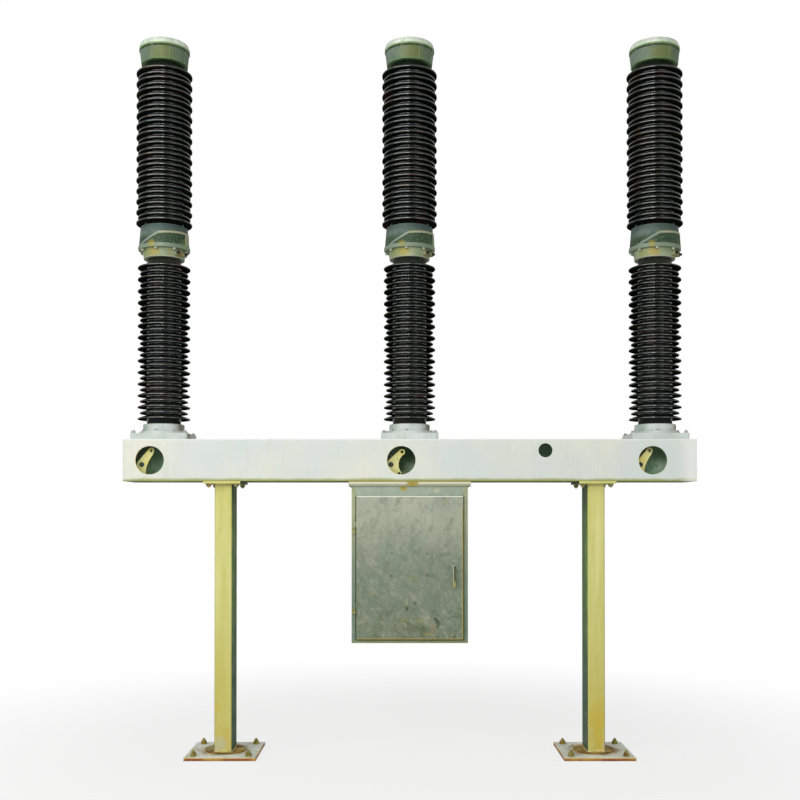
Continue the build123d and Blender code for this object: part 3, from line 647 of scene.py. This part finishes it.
def handle_steel():
    """The lever dark, with painted highlights on its hub and left edge, its round plate like the door."""
    s = Shader("handle_steel", metallic=0.3, specular=0.5)
    s.colour = s.blend(s.patches(50.0, 0.3, 0.7), (58, 64, 46), (96, 102, 80))
    # Painted highlight on the hub
    hub = s.span(s.axis("Z"), 1.296, 1.306)
    s.paint((224, 226, 206), hub, 0.8)
    # Painted highlight down the lever's left edge
    left = s.span(s.axis("X"), 0.291, 0.295, 1.0, 0.0)
    s.paint((214, 214, 188), left, 0.85)
    tip = s.span(s.axis("Z"), 1.19, 1.21, 1.0, 0.0)
    s.paint((176, 170, 104), tip, 0.6)
    plate = s.span(s.axis("Y"), -0.1965, -0.1955)
    mottled = s.blend(s.patches(40.0, 0.35, 0.65, detail=5.0), (112, 128, 110), (146, 156, 138))
    s.paint(mottled, plate)
    s.bump(s.noise(260.0, 4.0), 0.2, 0.0004, 0.0008)
    return s.finish(0.3, 0.5, 50.0, 4.0)


def dark_finish(name, light, dark, roughness):
    """A dark rubber or oiled surface."""
    s = Shader(name, specular=0.35)
    s.colour = s.blend(s.patches(40.0, 0.3, 0.7), dark, light)
    s.bump(s.noise(160.0, 3.0), 0.2, 0.0005, 0.0008)
    return s.finish(roughness - 0.1, roughness + 0.1, 20.0, 3.0)


def weld_steel():
    """Painted weld bead, rusty between its ripples."""
    s = Shader("weld_steel", specular=0.35)
    s.colour = s.blend(s.patches(60.0, detail=5.0), (178, 160, 86), (222, 208, 150))
    brown = s.patches(35.0, 0.52, 0.62, detail=6.0, rough=0.7)
    s.paint(rust(s), brown, 0.8)
    s.bump(s.noise(220.0, 4.0), 0.25, 0.0006, 0.0008)
    return s.finish(0.45, 0.7, 30.0, 4.0)


materials = {
    "beam": beam_paint(),
    "leg": leg_paint(),
    "foot": foot_steel(),
    "disc": foot_steel("disc_steel", 1.0),
    "porcelain": porcelain(),
    "base": base_alloy(),
    "housing": housing_alloy(),
    "neck": neck_alloy(),
    "cap": cap_alloy(),
    "cabinet": cabinet_steel(),
    "crank": crank_zinc(),
    "bolt": bolt_steel("bolt_steel", (196, 200, 182), (150, 156, 134), 0.3),
    "base_bolt": bolt_steel("base_bolt_steel", (190, 196, 186), (150, 160, 150), 0.2),
    "anchor": bolt_steel("anchor_steel", (170, 160, 76), (112, 106, 44), 0.5),
    "bracket": bolt_steel("bracket_steel", (108, 130, 104), (70, 90, 72), 0.3),
    "handle": handle_steel(),
    "hinge": bolt_steel("hinge_steel", (176, 174, 112), (112, 116, 76), 0.5),
    "rubber": dark_finish("rubber", (48, 50, 40), (24, 26, 22), 0.75),
    "shaft": dark_finish("oiled_shaft", (52, 72, 56), (28, 42, 32), 0.4),
    "valve": dark_finish("dark_fitting", (58, 62, 48), (30, 34, 28), 0.5),
    "weld": weld_steel(),
}

NODE_MATERIALS = {
    "beam_": "beam",
    "leg_": "leg",
    "foot_plate": "foot",
    "foot_discs": "disc",
    "pole_": "base",
    "lower_insulator": "porcelain",
    "upper_insulator": "porcelain",
    "neck_": "neck",
    "interrupter_": "housing",
    "top_cap": "cap",
    "crank_lever": "crank",
    "crank_bracket": "bracket",
    "cabinet_": "cabinet",
    "door_hinges": "hinge",
    "door_handle": "handle",
}
for name, node in nodes.items():
    key = next(prefix for prefix in NODE_MATERIALS if name.startswith(prefix))
    node.data.materials.clear()
    node.data.materials.append(materials[NODE_MATERIALS[key]])


# Mesh helpers
UP = Vector((0, 0, 1))
DOWN = Vector((0, 0, -1))
FRONT = Vector((0, -1, 0))


def new_piece(name, bm, material, body):
    """A finished piece of the object from bmesh, riding on a body."""
    bmesh.ops.recalc_face_normals(bm, faces=bm.faces)
    mesh = bpy.data.meshes.new(name)
    bm.to_mesh(mesh)
    bm.free()
    piece = bpy.data.objects.new(name, mesh)
    bpy.context.scene.collection.objects.link(piece)
    mesh.materials.append(materials[material])
    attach(piece, body)
    return piece


def lathe(bm, profile, place, segments=24, axis=UP, smooth=True):
    """A turned shape from radius and height pairs along an axis, closed at its ends."""
    turn = axis.to_track_quat("Z", "Y").to_matrix()
    rings = []
    for radius, height in profile:
        loop = []
        for index in range(segments):
            angle = 2 * math.pi * index / segments
            point = Vector((radius * math.cos(angle), radius * math.sin(angle), height))
            loop.append(bm.verts.new(turn @ point + Vector(place)))
        rings.append(loop)
    for low, high in zip(rings, rings[1:]):
        for index in range(segments):
            after = (index + 1) % segments
            face = bm.faces.new((low[index], low[after], high[after], high[index]))
            face.smooth = smooth
    bm.faces.new(list(reversed(rings[0])))
    bm.faces.new(rings[-1])


def chamfered(radius, height, chamfer):
    """The profile of a disc with a chamfered far edge."""
    inner = radius - chamfer
    return [(radius, 0.0), (radius, height - chamfer), (inner, height), (inner * 0.2, height)]


def hex_nut(bm, place, across, height, axis, turn=0.0):
    """A hexagon with chamfered corners, standing on a place."""
    corner = across / math.sqrt(3)
    rotate = axis.to_track_quat("Z", "Y").to_matrix() @ Matrix.Rotation(turn, 3, "Z")
    rings = []
    for radius, level in ((corner, 0.0), (corner, 0.86 * height), (0.9 * corner, height)):
        loop = []
        for index in range(6):
            angle = math.pi / 3 * index
            point = Vector((radius * math.cos(angle), radius * math.sin(angle), level))
            loop.append(bm.verts.new(rotate @ point + Vector(place)))
        rings.append(loop)
    for low, high in zip(rings, rings[1:]):
        for index in range(6):
            after = (index + 1) % 6
            bm.faces.new((low[index], low[after], high[after], high[index]))
    bm.faces.new(rings[0])
    bm.faces.new(rings[-1])


def bolted(bm, place, size, axis, stud=0.0, turn=0.0):
    """A washer, a nut or head, and a stud end if it has one. size is the thread's diameter."""
    thick = 0.16 * size
    lathe(bm, chamfered(0.92 * size, thick, 0.3 * thick), place, 20, axis, False)
    seat = Vector(place) + axis * thick
    hex_nut(bm, seat, 1.55 * size, 0.75 * size, axis, turn)
    if stud:
        end = 0.75 * size + stud
        tip = min(0.35 * size, 0.6 * stud)
        profile = [(size / 2, 0.0), (size / 2, end - tip), (0.24 * size, end), (0.05 * size, end)]
        lathe(bm, profile, seat, 14, axis, False)


def ring(bm, place, inner, outer, height):
    """A flat ring on a face that looks to the front."""
    segments = 28
    loops = []
    for radius, level in ((inner, 0.0), (inner, height), (outer, height), (outer, 0.0)):
        loop = []
        for index in range(segments):
            angle = 2 * math.pi * index / segments
            offset = Vector((radius * math.cos(angle), -level, radius * math.sin(angle)))
            loop.append(bm.verts.new(place + offset))
        loops.append(loop)
    for position in range(4):
        first, second = loops[position], loops[(position + 1) % 4]
        for index in range(segments):
            after = (index + 1) % segments
            bm.faces.new((first[index], first[after], second[after], second[index]))


def bead(bm, path, radius, seed, up):
    """A rippled weld bead along a closed path of points."""
    chance = random.Random(seed)
    sides = 6
    rings = []
    count = len(path)
    for index, point in enumerate(path):
        along = (path[(index + 1) % count] - path[index - 1]).normalized()
        across = along.cross(up).normalized()
        size = radius * (0.82 + 0.3 * chance.random() + 0.16 * (index % 2))
        loop = []
        for side in range(sides):
            angle = 2 * math.pi * side / sides
            offset = across * math.cos(angle) * size + up * math.sin(angle) * size
            loop.append(bm.verts.new(point + offset))
        rings.append(loop)
    for index in range(count):
        low, high = rings[index], rings[(index + 1) % count]
        for side in range(sides):
            after = (side + 1) % sides
            face = bm.faces.new((low[side], low[after], high[after], high[side]))
            face.smooth = True


def box_piece(bm, low, high, bevel=0.0):
    """A box between two corners, its edges rounded."""
    corners = [(x, y, z) for x in (low[0], high[0]) for y in (low[1], high[1]) for z in (low[2], high[2])]
    verts = [bm.verts.new(corner) for corner in corners]
    faces = ((0, 1, 3, 2), (4, 6, 7, 5), (0, 4, 5, 1), (2, 3, 7, 6), (0, 2, 6, 4), (1, 5, 7, 3))
    made = [bm.faces.new([verts[index] for index in face]) for face in faces]
    if bevel:
        edges = list({edge for face in made for edge in face.edges})
        bmesh.ops.bevel(bm, geom=edges, offset=bevel, segments=2, affect="EDGES", profile=0.5)


def seam(bm, start, end, width):
    """A hair-thin dark line on a face that looks to the front."""
    along = (end - start).normalized()
    across = Vector((along.z, 0, -along.x)) * width / 2
    lift = Vector((0, -0.0003, 0))
    base = [start - across, start + across, end + across, end - across]
    low = [bm.verts.new(point) for point in base]
    high = [bm.verts.new(point + lift) for point in base]
    bm.faces.new(low)
    bm.faces.new(high)
    for index in range(4):
        after = (index + 1) % 4
        bm.faces.new((low[index], low[after], high[after], high[index]))


def rounded_path(x, half_x, half_y, radius, z, step=0.007):
    """Points round a rectangle with rounded corners."""
    points = []
    for corner, (x_sign, y_sign) in enumerate(((1, 1), (-1, 1), (-1, -1), (1, -1))):
        for part in range(5):
            angle = math.pi / 2 * (corner + part / 4)
            point_x = x + x_sign * (half_x - radius) + radius * math.cos(angle)
            point_y = y_sign * (half_y - radius) + radius * math.sin(angle)
            points.append(Vector((point_x, point_y, z)))
    path = []
    for first, second in zip(points, points[1:] + points[:1]):
        count = max(1, round((second - first).length / step))
        path += [first.lerp(second, index / count) for index in range(count)]
    return path


# Porcelain with rounded rims
def shed_rows(core, big, small, pitch, first, edge, count):
    """The section of the sheds as radius and height pairs, with rounded rims."""
    rows = []
    half = edge / 2
    soft = 0.3 * edge
    under = math.tan(math.radians(SHED_UNDER_SLOPE))
    over = math.tan(math.radians(SHED_TOP_SLOPE))
    for index in range(2 * count - 1):
        shed = small if index % 2 else big
        low = first + index * pitch / 2
        inner = shed - 1.2 * edge
        rows.append((core, low + (shed - core) * under))
        rows.append((core + 0.004, low + (shed - core) * under - 0.0015))
        rows.append((inner, low + (shed - inner) * under))
        for step in range(-4, 5):
            angle = math.pi / 8 * step
            corner = math.copysign(half - soft, step) if step else 0.0
            rows.append((shed - soft + soft * math.cos(angle), low + half + corner + soft * math.sin(angle)))
        rows.append((inner, low + edge + (shed - inner) * over))
        rows.append((core + 0.005, low + edge + (shed - core - 0.006) * over))
        rows.append((core, low + edge + (shed - core) * over + 0.003))
    return rows


def insulators():
    """The lower and upper insulator of each pole, turned with rounded rims."""
    for level, sheds in (("lower", LOWER_SHEDS), ("upper", UPPER_SHEDS)):
        for side in SIDES:
            node = f"{level}_insulator_{side}"
            low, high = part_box(node)
            core = sheds["core"]
            profile = [(core, 0.0)] + shed_rows(**sheds) + [(core, high.z - low.z)]
            bm = bmesh.new()
            lathe(bm, profile, (pole_x(side), 0, low.z), 96)
            piece = new_piece(f"porcelain_{level}_{side}", bm, "porcelain", "frame")
            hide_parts(node)


# Fasteners and fittings
def anchor_bolts():
    """Four anchor bolts on each foot, with nut, washer and stud."""
    for side in ("left", "right"):
        low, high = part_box(f"foot_plate_{side}")
        middle = (low + high) / 2
        bm = bmesh.new()
        for x_sign in (-1, 1):
            for y_sign in (-1, 1):
                x = middle.x + x_sign * ANCHOR_BOLTS[0]
                place = (x, middle.y + y_sign * ANCHOR_BOLTS[1], high.z)
                bolted(bm, place, 0.024, UP, 0.018, 0.3 * x_sign + 0.2 * y_sign)
        new_piece(f"anchor_bolts_{side}", bm, "anchor", "frame")


def leg_top_bolts():
    """Bolts through the leg top plates and the beam's lips, with nuts inside the beam."""
    for side in ("left", "right"):
        low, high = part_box(f"leg_top_plate_{side}")
        middle = (low + high) / 2
        lip_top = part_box("beam_bottom_lips")[1].z
        bm = bmesh.new()
        for x_sign in (-1, 1):
            for y_sign in (-1, 1):
                x = middle.x + x_sign * LEG_TOP_BOLTS[0]
                y = middle.y + y_sign * LEG_TOP_BOLTS[1]
                bolted(bm, (x, y, low.z), 0.020, DOWN, 0.008, 0.2 * x_sign)
                bolted(bm, (x, y, lip_top), 0.020, UP, 0.010, 0.4 * x_sign)
        new_piece(f"leg_top_bolts_{side}", bm, "hinge", "frame")


def pole_base_bolts():
    """Bolts of the round flange and at the corners of the plate."""
    flange_rim = 0.016
    for side in SIDES:
        plate_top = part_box(f"pole_base_plate_{side}")[1].z
        x = pole_x(side)
        bm = bmesh.new()
        for angle in BOLT_ANGLES:
            offset = Vector((math.cos(angle), math.sin(angle), 0)) * FLANGE_BOLT_RADIUS
            bolted(bm, offset + Vector((x, 0, plate_top + flange_rim)), 0.011, UP, 0.004, angle)
        for x_sign in (-1, 1):
            for y_sign in (-1, 1):
                place = (x + x_sign * POLE_PLATE_BOLTS[0], y_sign * POLE_PLATE_BOLTS[1], plate_top)
                bolted(bm, place, 0.016, UP, 0.006, 0.25)
        new_piece(f"pole_base_bolts_{side}", bm, "base_bolt", "frame")


def neck_bolts():
    """Bolt heads under the housing's lip, round the neck."""
    for side in SIDES:
        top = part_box(f"neck_flange_{side}")[1].z
        x = pole_x(side)
        bm = bmesh.new()
        for angle in BOLT_ANGLES:
            offset = Vector((math.cos(angle), math.sin(angle), 0)) * NECK_BOLT_RADIUS
            bolted(bm, offset + Vector((x, 0, top)), 0.013, DOWN, 0.004, angle)
        new_piece(f"neck_bolts_{side}", bm, "bolt", "frame")


def gas_fittings():
    """Dark caps on the neck's bosses, each on a hexagon seat."""
    for side in SIDES:
        low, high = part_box(f"neck_flange_{side}")
        x = pole_x(side)
        middle_z = (low.z + high.z) / 2
        bm = bmesh.new()
        for angle in (-18, -44):
            axis = Vector((math.cos(math.radians(angle)), math.sin(math.radians(angle)), 0))
            seat = Vector((x, 0, middle_z)) + axis * 0.165
            hex_nut(bm, seat, 0.024, 0.006, axis)
            lathe(bm, chamfered(0.009, 0.012, 0.002), seat + axis * 0.006, 16, axis, False)
        new_piece(f"gas_fittings_{side}", bm, "valve", "frame")


def crank_fittings():
    """The dark shaft end and a bush round each pin hole, turning with each crank."""
    for side in SIDES:
        hub = Vector((pole_x(side) + CRANK_HUB[0], 0, CRANK_HUB[1]))
        shaft_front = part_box(f"crank_lever_{side}")[0].y
        face = hub + Vector((0, shaft_front, 0))
        profile = [(0.0168, -0.0035), (0.0168, 0.0), (0.0155, 0.0012), (0.003, 0.0012)]
        bm = bmesh.new()
        lathe(bm, profile, face, 28, FRONT, False)
        lathe(bm, chamfered(0.0028, 0.0022, 0.0006), face, 12, FRONT, False)
        new_piece(f"shaft_end_{side}", bm, "shaft", f"crank_{side}")
        bm = bmesh.new()
        for length, angle in CRANK_PINS[side]:
            turn = math.radians(angle)
            offset = Vector((math.cos(turn) * length, shaft_front + 0.004, math.sin(turn) * length))
            ring(bm, hub + offset, 0.0102, 0.0145, 0.0010)
        new_piece(f"pin_bushes_{side}", bm, "crank", f"crank_{side}")


def leg_welds():
    """Weld beads where each leg meets its foot and its top plate."""
    for seed, side in enumerate(("left", "right")):
        low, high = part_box(f"leg_tube_{side}")
        x = (low.x + high.x) / 2
        half_x = (high.x - low.x) / 2 + 0.001
        half_y = (high.y - low.y) / 2 + 0.001
        disc_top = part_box("foot_discs")[1].z
        bm = bmesh.new()
        for z, up in ((disc_top + 0.001, UP), (high.z - 0.001, UP)):
            bead(bm, rounded_path(x, half_x, half_y, 0.013, z), 0.0045, seed, up)
        new_piece(f"leg_welds_{side}", bm, "weld", "frame")


def cabinet_details():
    """Door seal, mitre seams, screws and hinge pins."""
    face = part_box("cabinet_shell")[0].y
    door_low, door_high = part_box("cabinet_door")
    inset = 0.012
    x_edge, z_low, z_high = door_high.x - inset, door_low.z + inset, door_high.z - inset
    wide, front = 0.008, face - 0.0035
    bm = bmesh.new()
    for low, high in (
        ((-x_edge, z_low), (-x_edge + wide, z_high)),
        ((x_edge - wide, z_low), (x_edge, z_high)),
        ((-x_edge, z_low), (x_edge, z_low + wide)),
        ((-x_edge, z_high - wide), (x_edge, z_high)),
    ):
        box_piece(bm, (low[0], front, low[1]), (high[0], face, high[1]), 0.001)
    new_piece("door_seal", bm, "rubber", "frame")
    bm = bmesh.new()
    for sign in (-1, 1):
        seam(bm, Vector((sign * 0.391, face, 1.8345)), Vector((sign * 0.3625, face, 1.7715)), 0.0014)
        seam(bm, Vector((sign * 0.391, face, 0.7785)), Vector((sign * 0.364, face, 0.8005)), 0.0014)
    new_piece("frame_seams", bm, "valve", "frame")
    bm = bmesh.new()
    for x in SCREWS_X:
        for z in SCREWS_Z:
            profile = [(0.0045, 0.0), (0.004, 0.0015), (0.0015, 0.0022)]
            lathe(bm, profile, (x, door_low.y, z), 14, FRONT)
    new_piece("door_screws", bm, "valve", "door")
    hinge_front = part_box("door_hinges")[0].y
    bm = bmesh.new()
    for top in HINGE_TOPS:
        profile = [(0.0045, -0.003), (0.0045, 0.003), (0.0025, 0.0045)]
        lathe(bm, profile, (HINGE_X, hinge_front + 0.009, top), 14, UP, False)
    new_piece("hinge_pins", bm, "bolt", "door")


insulators()
anchor_bolts()
leg_top_bolts()
pole_base_bolts()
neck_bolts()
gas_fittings()
crank_fittings()
leg_welds()
cabinet_details()


# Stage
def stage():
    """A pale floor that keeps the shadow and turns white further out."""
    size = 60.0
    mesh = bpy.data.meshes.new("floor")
    corners = [(-size, -size, 0), (size, -size, 0), (size, size, 0), (-size, size, 0)]
    mesh.from_pydata(corners, [], [(0, 1, 2, 3)])
    floor = bpy.data.objects.new("floor", mesh)
    bpy.context.scene.collection.objects.link(floor)
    floor.location.z = -0.0005
    s = Shader("floor")
    s.tree.nodes.remove(s.bsdf)
    diffuse = s.node("ShaderNodeBsdfDiffuse")
    diffuse.inputs["Color"].default_value = (0.80, 0.80, 0.79, 1)
    glow = s.node("ShaderNodeEmission")
    glow.inputs["Color"].default_value = (1, 1, 1, 1)
    fade = s.span(s.apart(s.coords, (0, 0, 0)), 1.6, 5.0, 0.72, 1.0)
    seen = s.times(s.node("ShaderNodeLightPath").outputs["Is Camera Ray"], fade)
    mix = s.node("ShaderNodeMixShader")
    for index, value in enumerate((seen, diffuse.outputs[0], glow.outputs[0])):
        s.plug(value, mix.inputs[index])
    s.plug(mix.outputs[0], s.tree.nodes["Material Output"].inputs["Surface"])
    mesh.materials.append(s.material)


def background():
    """White where the camera sees it, softer as a light."""
    world = bpy.data.worlds.new("studio")
    bpy.context.scene.world = world
    world.use_nodes = True
    tree = world.node_tree
    tree.nodes.clear()
    output = tree.nodes.new("ShaderNodeOutputWorld")
    light = tree.nodes.new("ShaderNodeBackground")
    light.inputs["Color"].default_value = (1.0, 1.0, 0.99, 1)
    light.inputs["Strength"].default_value = 0.44
    seen = tree.nodes.new("ShaderNodeBackground")
    seen.inputs["Color"].default_value = (1, 1, 1, 1)
    seen.inputs["Strength"].default_value = 1.0
    path = tree.nodes.new("ShaderNodeLightPath")
    mix = tree.nodes.new("ShaderNodeMixShader")
    tree.links.new(path.outputs["Is Camera Ray"], mix.inputs[0])
    tree.links.new(light.outputs[0], mix.inputs[1])
    tree.links.new(seen.outputs[0], mix.inputs[2])
    tree.links.new(mix.outputs[0], output.inputs["Surface"])


def lamp(name, place, target, width, height, power):
    """A soft area light aimed at a point."""
    data = bpy.data.lights.new(name, "AREA")
    data.shape = "RECTANGLE"
    data.size = width
    data.size_y = height
    data.energy = power
    light = bpy.data.objects.new(name, data)
    bpy.context.scene.collection.objects.link(light)
    light.location = place
    direction = Vector(target) - Vector(place)
    light.rotation_euler = direction.to_track_quat("-Z", "Y").to_euler()


def camera():
    """The photograph's view, with the lens raised a little."""
    data = bpy.data.cameras.new("camera")
    data.sensor_width = 36.0
    data.lens = 47.25
    data.shift_y = 0.13
    made = bpy.data.objects.new("camera", data)
    bpy.context.scene.collection.objects.link(made)
    made.location = (-0.066, -7.264, 1.651)
    made.rotation_euler = (math.radians(90.52), 0, 0)
    bpy.context.scene.camera = made


stage()
background()
lamp("key", (-5.5, -6.5, 5.2), (0, 0, 2.9), 8.0, 7.5, 355)
lamp("front", (-1.3, -8.6, 4.3), (0, 0, 2.0), 2.2, 1.6, 155)
lamp("fill", (5.5, -6.0, 2.5), (0, 0, 2.2), 4.0, 4.0, 60)
camera()
bpy.context.scene.view_settings.view_transform = "Standard"
